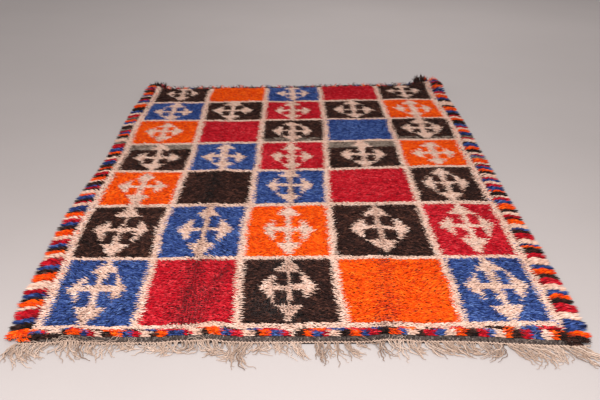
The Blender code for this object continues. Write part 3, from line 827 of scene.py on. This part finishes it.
def makeTufts():
    x, y, yarn, side = placeKnots()
    strands = growStrands(x, y, side)
    grown = growClumps()
    strands = [np.concatenate(pair) for pair in zip(strands, grown)]
    strandYarn = np.concatenate([np.tile(yarn, 4), grown[-1]])
    for code, name in enumerate(woolNames):
        chosen = np.flatnonzero(strandYarn == code)
        chosen = chosen[np.argsort(strands[0][chosen, 1], kind="stable")]
        parts = int(math.ceil(len(chosen) / pieceLimit))
        material = woolMaterial(name + " shag wool", woolColours[name])
        for index, part in enumerate(np.array_split(chosen, parts)):
            label = "tufts_" + name.replace("-", "_") + ("" if parts == 1 else f"_{index + 1}")
            piece = addPiece(label, strandMesh(label, *(values[part] for values in strands)), material)
            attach(piece, "root")
            print(label, len(part), "strands,", len(part) * 6, "triangles")


makeTufts()
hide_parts("pile_field")

# the ground weave under the pile: a thin sheet that shows the knots' backs on its underside
ground = {
    "knotsPerCell": 2, "thickness": 0.0034, "frontInset": 0.005, "lift": 0.0002,
    "ribPitch": 480.0, "ribWaver": 1.2, "ribShade": (0.45, 0.80), "ribBump": 0.6, "ribDepth": 0.001,
    "roughness": 0.95, "sheen": 0.1,
}


def gridFaces(across, along, offset, flip):
    i, j = (grid.ravel() for grid in np.meshgrid(np.arange(across), np.arange(along)))
    start = j * (across + 1) + i + offset
    ring = [start, start + 1, start + across + 2, start + across + 1]
    return np.stack(ring[::-1] if flip else ring, -1)


def rimFaces(across, along, layer):
    wide = across + 1
    near = [(i, i + 1) for i in range(across)]
    right = [(across + j * wide, across + (j + 1) * wide) for j in range(along)]
    far = [(along * wide + i + 1, along * wide + i) for i in range(across)]
    left = [((j + 1) * wide, j * wide) for j in range(along)]
    return np.array([(a + layer, b + layer, b, a) for a, b in near + right + far + left])


def meshFrom(name, verts, faces, smooth=True):
    mesh = bpy.data.meshes.new(name)
    mesh.from_pydata([tuple(v) for v in verts], [], [tuple(int(k) for k in f) for f in faces])
    mesh.polygons.foreach_set("use_smooth", np.full(len(mesh.polygons), smooth))
    mesh.update()
    return mesh


def makeGround():
    step = ground["knotsPerCell"]
    column, row = np.meshgrid(np.arange(0, columnStarts[-1] + 1, step),
                              np.arange(0, rowStarts[-1] + 1, step))
    along, across = column.shape[0] - 1, column.shape[1] - 1
    x, y = gridPoint(column.astype(float), row.astype(float))
    yarn = chartYarns(*gridPoint(*knotPlaces()))[::step, ::step].ravel()
    x, y = x.ravel(), y.ravel()
    y = np.maximum(y, nearEdge(x) + ground["frontInset"])
    base = liftAt(x, y)
    top = np.stack([x, y, base + ground["thickness"]], -1)
    under = np.stack([x, y, base + ground["lift"]], -1)
    faces = np.concatenate([gridFaces(across, along, 0, False), gridFaces(across, along, len(top), True),
                            rimFaces(across, along, len(top))])
    mesh = meshFrom("ground_weave", np.concatenate([top, under]), faces)
    table = np.array([fromPicture(woolColours[name]["main"]) for name in woolNames])
    rim = np.full(len(faces) - 2 * len(yarn), codeOf("K"))
    backs = table[np.concatenate([yarn, yarn, rim])]
    colour = mesh.attributes.new("knotBack", "FLOAT_COLOR", "FACE")
    colour.data.foreach_set("color", backs.astype(np.float32).ravel())
    piece = addPiece("ground_weave", mesh, groundMaterial())
    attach(piece, "root")
    return piece


def groundMaterial():
    material, tree, shader = newMaterial("ground weave with knot backs")
    back = addNode(tree, "ShaderNodeAttribute", attribute_name="knotBack").outputs["Color"]
    place = addNode(tree, "ShaderNodeTexCoord").outputs["Object"]
    sockets = {"Vector": place, "Scale": ground["ribPitch"] / (2 * math.pi),
               "Distortion": ground["ribWaver"], "Detail Scale": 4.0}
    ribs = addNode(tree, "ShaderNodeTexWave", sockets, wave_type="BANDS", bands_direction="Y")
    ribs = ribs.outputs["Fac"]
    low, high = ground["ribShade"]
    shade = addNode(tree, "ShaderNodeMapRange", {"Value": ribs, "To Min": low, "To Max": high})
    setSockets(shader, {
        "Base Color": addMultiply(tree, back, shade.outputs["Result"]),
        "Normal": addBump(tree, ribs, ground["ribBump"], ground["ribDepth"]),
        "Roughness": ground["roughness"], "Sheen Weight": ground["sheen"],
    })
    return material


groundSheet = makeGround()
print("ground woven:", triangleCount(groundSheet.data), "triangles")

# the flat-woven band: rows of upright stitches over a thin dark strip
band = {
    "rows": 3, "stitch": 0.0042, "height": 0.0022, "base": 0.0022, "overlap": 1.12, "stations": 241,
    "lift": 0.0002, "sunk": 0.0004, "jitterX": 0.0003, "jitterY": 0.0006, "lean": 0.0011,
    "colours": {"deep": (26, 18, 16), "low": (54, 43, 39), "main": (82, 69, 63), "pale": (128, 114, 106)},
}


def makeBandStrip():
    stations = np.linspace(bandLow.x, outline["bandEnd"], band["stations"])
    far = nearEdge(stations) - outline["gap"]
    near = far - outline["bandDepth"] - outline["headingDepth"] + outline["gap"]
    base = liftAt(stations, nearEdge(stations))
    low, high = base + band["lift"], base + band["base"]
    rows = [(far, low), (near, low), (near, high), (far, high)]
    verts = np.concatenate([np.stack([stations, y, z], -1) for y, z in rows])
    n = len(stations)
    faces = []
    for k in range(4):
        for i in range(n - 1):
            a, b = k * n, (k + 1) % 4 * n
            faces.append((a + i, b + i, b + i + 1, a + i + 1))
    faces.append((3 * n, 2 * n, n, 0))
    faces.append((2 * n - 1, 3 * n - 1, 4 * n - 1, n - 1))
    mesh = meshFrom("band_strip", verts, faces)
    addPointValue(mesh, "yarnTone", np.full(len(verts), -1.5))
    addPointValue(mesh, "paintedShadeShare", np.full(len(verts), 0.6))
    return mesh


def makeBandStitches():
    # a stitch is a low mound of five by three points that leans a little
    chance = np.random.default_rng(31)
    count = int((outline["bandEnd"] - bandLow.x) / band["stitch"])
    depth = (outline["bandDepth"] - 2 * outline["gap"]) / band["rows"]
    verts, faces, tones, shares = [], [], [], []
    for row in range(band["rows"]):
        for i in range(count):
            x = bandLow.x + (i + 0.5) * band["stitch"] + chance.normal(0, band["jitterX"])
            edge = valueAt(nearEdge, x)
            base = valueAt(liftAt, x, edge) + band["base"] - band["sunk"]
            y = edge - outline["gap"] - (row + 0.5) * depth + chance.normal(0, band["jitterY"])
            lean = (band["lean"] if row % 2 else -band["lean"]) + chance.normal(0, band["jitterX"])
            half = depth / 2 * band["overlap"]
            tall = band["height"] * (1 + chance.normal(0, 0.15))
            start = len(verts)
            tone = chance.normal(-0.1, 0.8)
            for j in range(4):
                t = j / 3 * 2 - 1
                swell = math.sqrt(max(1 - t * t, 0.0))
                py = min(max(y + t * half, edge - outline["bandDepth"] + band["lift"]), edge - band["lift"])
                for k in range(3):
                    s = (k - 1) * band["stitch"] * 0.55 * (0.35 + 0.65 * swell)
                    height = tall * (0.15 + 0.85 * swell) * (1.0 if k == 1 else 0.3)
                    verts.append((x + s + lean * t, py, base + height))
                    tones.append(tone)
                    # painted shade: the sides of each stitch are darker than its crest
                    shares.append(0.65 if k == 1 else 0.2)
            for j in range(3):
                for k in range(2):
                    a = start + j * 3 + k
                    faces.append((a, a + 1, a + 4, a + 3))
    mesh = meshFrom("band_stitches", verts, faces)
    addPointValue(mesh, "yarnTone", tones)
    addPointValue(mesh, "paintedShadeShare", shares)
    return mesh


def makeBand():
    material = woolMaterial("dark flat-woven wool", band["colours"])
    pieces = [addPiece("band_ground", makeBandStrip(), material),
              addPiece("band_stitches", makeBandStitches(), material)]
    for piece in pieces:
        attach(piece, "root")
    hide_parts("end_weave")
    return pieces


bandPieces = makeBand()
print("band woven:", sum(triangleCount(piece.data) for piece in bandPieces), "triangles")

# cords of the fringe, in the bunches that they lie in: x and spread of their roots, length,
# lean to the right, how far they hook round, and the share that is thrown back over the band
fringeColours = {
    "deep": (118, 95, 82), "low": (150, 125, 109), "main": (176, 150, 133), "pale": (198, 175, 160),
}
bunchKeys = ("x", "spread", "cords", "length", "lean", "hook", "over")
bunches = (
    (-0.790, 0.032, 9, 0.076, -0.12, 0.5, 0.0),
    (-0.748, 0.050, 14, 0.092, -0.05, 1.1, 0.0),
    (-0.705, 0.040, 11, 0.070, -0.45, 1.2, 0.2),
    (-0.660, 0.044, 10, 0.055, -0.30, 1.8, 0.7),
    (-0.610, 0.060, 14, 0.076, 0.05, 0.8, 0.2),
    (-0.560, 0.040, 9, 0.070, 0.10, 0.7, 0.3),
    (-0.517, 0.036, 8, 0.074, -0.15, 0.7, 0.5),
    (-0.468, 0.056, 13, 0.044, 0.20, 2.2, 0.2),
    (-0.410, 0.050, 10, 0.052, 0.35, 1.5, 0.0),
    (-0.360, 0.060, 14, 0.066, 0.25, 1.4, 0.0),
    (-0.300, 0.040, 8, 0.046, 0.10, 1.8, 0.1),
    (-0.248, 0.060, 14, 0.076, 0.45, 1.9, 0.1),
    (-0.188, 0.040, 7, 0.090, 0.35, 2.3, 0.0),
    (-0.146, 0.036, 11, 0.112, -0.30, 1.0, 0.0),
    (-0.100, 0.050, 10, 0.060, 0.05, 1.8, 0.0),
    (-0.050, 0.050, 12, 0.056, 0.05, 0.5, 0.0),
    (-0.006, 0.036, 9, 0.074, 0.15, 0.5, 0.0),
    (0.060, 0.020, 6, 0.086, 0.06, 0.2, 0.0),
    (0.086, 0.014, 4, 0.080, -0.02, 0.2, 0.0),
    (0.106, 0.014, 4, 0.080, 0.03, 0.2, 0.0),
    (0.136, 0.024, 6, 0.088, 0.30, 0.4, 0.0),
    (0.172, 0.030, 4, 0.034, 0.40, 1.0, 0.0),
    (0.228, 0.022, 7, 0.076, 0.12, 0.4, 0.3),
    (0.256, 0.034, 7, 0.046, 0.55, 1.6, 0.3),
    (0.286, 0.014, 4, 0.082, 0.04, 0.2, 0.0),
    (0.322, 0.044, 10, 0.068, 0.15, 0.9, 0.0),
    (0.370, 0.040, 10, 0.078, 0.35, 0.8, 0.0),
    (0.416, 0.036, 9, 0.070, 0.30, 0.7, 0.0),
    (0.464, 0.052, 13, 0.068, 0.10, 1.2, 0.0),
    (0.512, 0.030, 7, 0.082, 0.55, -1.9, 0.0),
    (0.552, 0.036, 8, 0.076, 0.05, -1.4, 0.0),
    (0.600, 0.050, 12, 0.088, 0.65, 0.3, 0.1),
    (0.652, 0.050, 11, 0.090, 0.75, -0.9, 0.0),
    (0.700, 0.044, 10, 0.082, 0.45, -1.7, 0.0),
    (0.745, 0.046, 10, 0.104, 0.70, 0.1, 0.0),
    (0.778, 0.028, 7, 0.086, 0.60, 0.3, 0.0),
)
cords = {
    "radius": 0.00122, "lobe": 0.28, "pitch": 0.0095, "step": 0.0042, "sides": 4, "more": 1.75, "thin": 0.5,
    "rest": 0.0018, "lengthSpread": 0.22, "leanSpread": 0.30, "kink": 0.38, "kinkPitch": 0.024,
    "settle": 0.020, "layer": 0.0030, "layers": (0.0, 0.4, 1.0, 1.8), "rootHeight": 0.0026, "tuck": 0.004,
    "rootSpread": 0.0022, "pastCorner": 0.004, "pastSide": 0.012, "pastEnd": 0.015,
    "overBand": 0.0058, "overPile": 0.012, "radiusSpread": 0.12, "taper": 0.45,
}


def frontLine(x):
    # near face of the heading
    return nearEdge(x) - outline["bandDepth"] - outline["gap"] - outline["headingDepth"]


def twistedTube(path, radius, lobe, pitch, phase, sides, taper):
    # a closed tube with two lobes that wind round it, as two plies do
    step = np.gradient(path, axis=0)
    along = np.concatenate([[0], np.cumsum(np.linalg.norm(np.diff(path, axis=0), axis=1))])
    ahead = step / np.maximum(np.linalg.norm(step, axis=1), 1e-9)[:, None]
    level = np.cross(ahead, np.array([0.0, 0.0, 1.0]))
    level /= np.maximum(np.linalg.norm(level, axis=1), 1e-6)[:, None]
    rise = np.cross(level, ahead)
    turn = phase + 2 * math.pi * along / pitch
    share = along / along[-1]
    size = radius * (1 - taper * ease((share - 0.75) / 0.25))
    rings = []
    for k in range(sides):
        angle = 2 * math.pi * k / sides
        swell = size * (1 + lobe * np.cos(2 * (angle - turn)))
        out = path + level * (np.cos(angle) * swell)[:, None]
        rings.append(out + rise * (np.sin(angle) * swell)[:, None])
    verts = np.stack(rings, 1).reshape(-1, 3)
    n = len(path)
    i, k = (grid.ravel() for grid in np.meshgrid(np.arange(n - 1), np.arange(sides), indexing="ij"))
    after = (k + 1) % sides
    faces = np.stack([i * sides + k, i * sides + after, (i + 1) * sides + after, (i + 1) * sides + k], -1)
    last = (n - 1) * sides
    faces = [tuple(face) for face in faces]
    faces.append(tuple(range(sides - 1, -1, -1)))
    faces.append(tuple(last + k for k in range(sides)))
    return verts, faces


def joinTubes(name, tubes, toneList, shareList):
    offset, verts, faces, tones, shares = 0, [], [], [], []
    for (tubeVerts, tubeFaces), tone, share in zip(tubes, toneList, shareList):
        verts.append(tubeVerts)
        faces += [tuple(k + offset for k in face) for face in tubeFaces]
        tones.append(np.full(len(tubeVerts), tone))
        shares.append(np.full(len(tubeVerts), share))
        offset += len(tubeVerts)
    mesh = meshFrom(name, np.concatenate(verts), faces, smooth=False)
    addPointValue(mesh, "yarnTone", np.concatenate(tones))
    addPointValue(mesh, "paintedShadeShare", np.concatenate(shares))
    return mesh


def cordPath(bunch, place, thrown, chance):
    # place runs from -1 to 1 across the bunch
    x = bunch["x"] + place * bunch["spread"] / 2 + chance.normal(0, cords["rootSpread"])
    left, right = (valueAt(edge, outline["cordPlace"]) for edge in (leftEdge, rightEdge))
    x = min(max(x, left - cords["pastCorner"]), right + cords["pastCorner"])
    length = bunch["length"] * (1 + chance.normal(0, cords["lengthSpread"]))
    count = max(int(length / cords["step"]), 10)
    s = np.linspace(0, 1, count)
    lean = bunch["lean"] - 0.25 * place + chance.normal(0, cords["leanSpread"])
    angle = -math.pi / 2 + lean * (0.45 + 0.75 * s)
    way = chance.choice([-1, 1]) if bunch["hook"] > 1.2 else 1
    angle = angle + way * bunch["hook"] * (0.75 + 0.5 * chance.random()) * ease((s - 0.25) / 0.75) ** 1.2
    for pitch in (cords["kinkPitch"], cords["kinkPitch"] * 1.9):
        turns = length / pitch * (0.8 + 0.4 * chance.random())
        kink = cords["kink"] * (0.5 + chance.random())
        angle = angle + kink * np.sin(2 * math.pi * (turns * s + chance.random())) * (0.4 + 0.6 * s)
    if thrown:                                    # back over the band
        angle = angle + chance.choice([-1, 1]) * (1.6 + 1.2 * chance.random()) * ease((s + 0.05) / 0.30)
    stride = length / (count - 1)
    px = x + np.concatenate([[0], np.cumsum(np.cos(angle[:-1]) * stride)])
    root = valueAt(frontLine, x) + cords["tuck"]
    py = root + np.concatenate([[0], np.cumsum(np.sin(angle[:-1]) * stride)])
    ridge = liftAt(px, nearEdge(px))
    start = valueAt(liftAt, x, valueAt(nearEdge, x)) + cords["rootHeight"]
    arch = np.sin(math.pi * np.clip(s * 1.1, 0, 1)) ** 0.8
    hump = cords["layer"] * chance.choice(cords["layers"]) * arch
    fall = 1 - ease(s * length / cords["settle"])
    z = cords["rest"] + hump + (start - cords["rest"]) * fall
    overBand = ease((py - frontLine(px) + 0.002) / 0.010) * ease(s / 0.15)
    z = np.maximum(z, cords["rest"] + overBand * (ridge + cords["overBand"]))
    overPile = ease((py - nearEdge(px) + 0.004) / 0.014)
    z = z + overPile * cords["overPile"]
    low, high = cadBounds
    px = np.clip(px, low[0] - cords["pastSide"], high[0] + cords["pastSide"])
    py = np.maximum(py, low[1] - cords["pastEnd"])
    return np.stack([px, py, z], -1)


def makeFringe():
    chance = np.random.default_rng(19)
    tubes, tones, shares = [], [], []
    for bunch in (dict(zip(bunchKeys, values)) for values in bunches):
        shade = chance.normal(0, 0.5)
        count = round(bunch["cords"] * cords["more"])
        for i in range(count):
            place = (i + 0.5) / count * 2 - 1
            thrown = chance.random() < bunch["over"]
            path = cordPath(bunch, place, thrown, chance)
            radius = cords["radius"] * (1 + chance.normal(0, cords["radiusSpread"]))
            radius *= cords["thin"] if thrown else 1.0
            tubes.append(twistedTube(path, radius, cords["lobe"], cords["pitch"],
                                     chance.uniform(0, 2 * math.pi), cords["sides"], cords["taper"]))
            tones.append(shade + chance.normal(0, 0.8))
            shares.append(0.6)
    mesh = joinTubes("fringe_cords", tubes, tones, shares)
    piece = addPiece("fringe_cords", mesh, woolMaterial("undyed warp cord", fringeColours))
    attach(piece, "root")
    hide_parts("warp_fringe")
    print("fringe cords:", len(tubes))
    return piece


# the twined heading: a doubled cord that zigzags between band and fringe
heading = {
    "pitch": 0.0095, "radius": 0.00095, "perTurn": 6, "end": 0.806,
    "swing": 0.0038, "swingSpread": 0.4, "swingPitch": 0.013, "wander": 0.30, "wanderPitch": 0.02,
    "height": 0.0038, "twin": 0.0017, "twinRise": 0.0006,
    "colours": {"deep": (132, 104, 90), "low": (168, 140, 122), "main": (192, 165, 148),
                "pale": (232, 206, 188)},
}


def makeHeading():
    left, right = valueAt(leftEdge, outline["cordPlace"]), heading["end"]
    count = int((right - left) / heading["pitch"] * heading["perTurn"])
    x = np.linspace(left, right, count)
    wander = heading["wander"] * softNoise(x, x * 0, heading["wanderPitch"], 41)
    turn = np.mod(x / heading["pitch"] + wander, 1.0)
    wave = 4 * np.abs(turn - 0.5) - 1
    centre = nearEdge(x) - outline["bandDepth"] - outline["gap"] - outline["headingDepth"] / 2
    tubes = []
    for twin in (-0.5, 0.5):
        spread = heading["swingSpread"] * softNoise(x, x * 0, heading["swingPitch"], 42 + int(twin > 0))
        y = centre + heading["swing"] * wave * (1 + spread)
        z = liftAt(x, nearEdge(x)) + heading["height"] + heading["twinRise"] * twin
        path = np.stack([x + twin * heading["twin"], y, z], -1)
        tubes.append(twistedTube(path, heading["radius"], 0.0, heading["pitch"], 0.0, 4, 0.0))
    mesh = joinTubes("twined_heading", tubes, [0.4, -0.4], [0.6, 0.6])
    piece = addPiece("twined_heading", mesh, woolMaterial("twined cream wool", heading["colours"]))
    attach(piece, "root")
    return piece


fringePiece = makeFringe()
headingPiece = makeHeading()
print("fringe hung:", triangleCount(fringePiece.data), "and", triangleCount(headingPiece.data), "triangles")

# floor, lamps and camera
studio = {
    "floorSize": 16.0, "floorDrop": 0.0006, "floorLow": (166, 157, 154), "floorHigh": (174, 165, 162),
    "floorRoughness": 0.55, "floorSpecular": 0.45, "cloudPitch": 1.4, "clip": (0.05, 60.0),
    "sky": (242, 238, 238), "skyStrength": 0.58,
    "lensMm": 50.0, "sensorMm": 36.0, "eye": (-0.012, -3.33, 1.245), "tilt": 22.32, "turn": -0.54,
}
lamps = (
    {"name": "window", "at": (-0.1, -3.2, 2.4), "to": (0.0, -1.5, 0.0), "size": 2.2, "watts": 186},
    {"name": "far wall", "at": (0.6, 3.6, 2.6), "to": (0.0, 2.3, 0.0), "size": 3.0, "watts": 40},
)


def makeFloor():
    half = studio["floorSize"] / 2
    z = -studio["floorDrop"]
    corners = [(-half, -half, z), (half, -half, z), (half, half, z), (-half, half, z)]
    mesh = meshFrom("floor", corners, [(0, 1, 2, 3)])
    material, tree, shader = newMaterial("pale floor")
    ramp = addNode(tree, "ShaderNodeValToRGB", {"Fac": addClouds(tree, studio["cloudPitch"], 5.0)})
    for stop, key in zip(ramp.color_ramp.elements, ("floorLow", "floorHigh")):
        stop.color = fromPicture(studio[key])
    setSockets(shader, {"Base Color": ramp.outputs["Color"], "Roughness": studio["floorRoughness"],
                        "Specular IOR Level": studio["floorSpecular"]})
    floor = addPiece("floor", mesh, material)


def lightRoom():
    world = bpy.data.worlds.new("soft room")
    world.use_nodes = True
    sky = world.node_tree.nodes["Background"]
    setSockets(sky, {"Color": fromPicture(studio["sky"]), "Strength": studio["skyStrength"]})
    bpy.context.scene.world = world
    for lamp in lamps:
        data = bpy.data.lights.new(lamp["name"], "AREA")
        data.energy, data.size = lamp["watts"], lamp["size"]
        light = bpy.data.objects.new(lamp["name"], data)
        light.location = lamp["at"]
        light.rotation_euler = (Vector(lamp["to"]) - Vector(lamp["at"])).to_track_quat("-Z", "Y").to_euler()
        bpy.context.scene.collection.objects.link(light)


def setCamera():
    data = bpy.data.cameras.new("camera")
    data.lens, data.sensor_width, data.sensor_fit = studio["lensMm"], studio["sensorMm"], "HORIZONTAL"
    data.clip_start, data.clip_end = studio["clip"]
    camera = bpy.data.objects.new("camera", data)
    camera.location = studio["eye"]
    camera.rotation_euler = (math.radians(90 - studio["tilt"]), 0.0, math.radians(studio["turn"]))
    bpy.context.scene.collection.objects.link(camera)
    bpy.context.scene.camera = camera


makeFloor()
lightRoom()
setCamera()
bpy.context.scene.view_settings.view_transform = "Standard"
print("floor, lamps and camera set")

triangles = [triangleCount(piece.data) for piece in bpy.data.objects if piece.type == "MESH"]
print("largest mesh:", max(triangles), "triangles; all meshes:", sum(triangles))
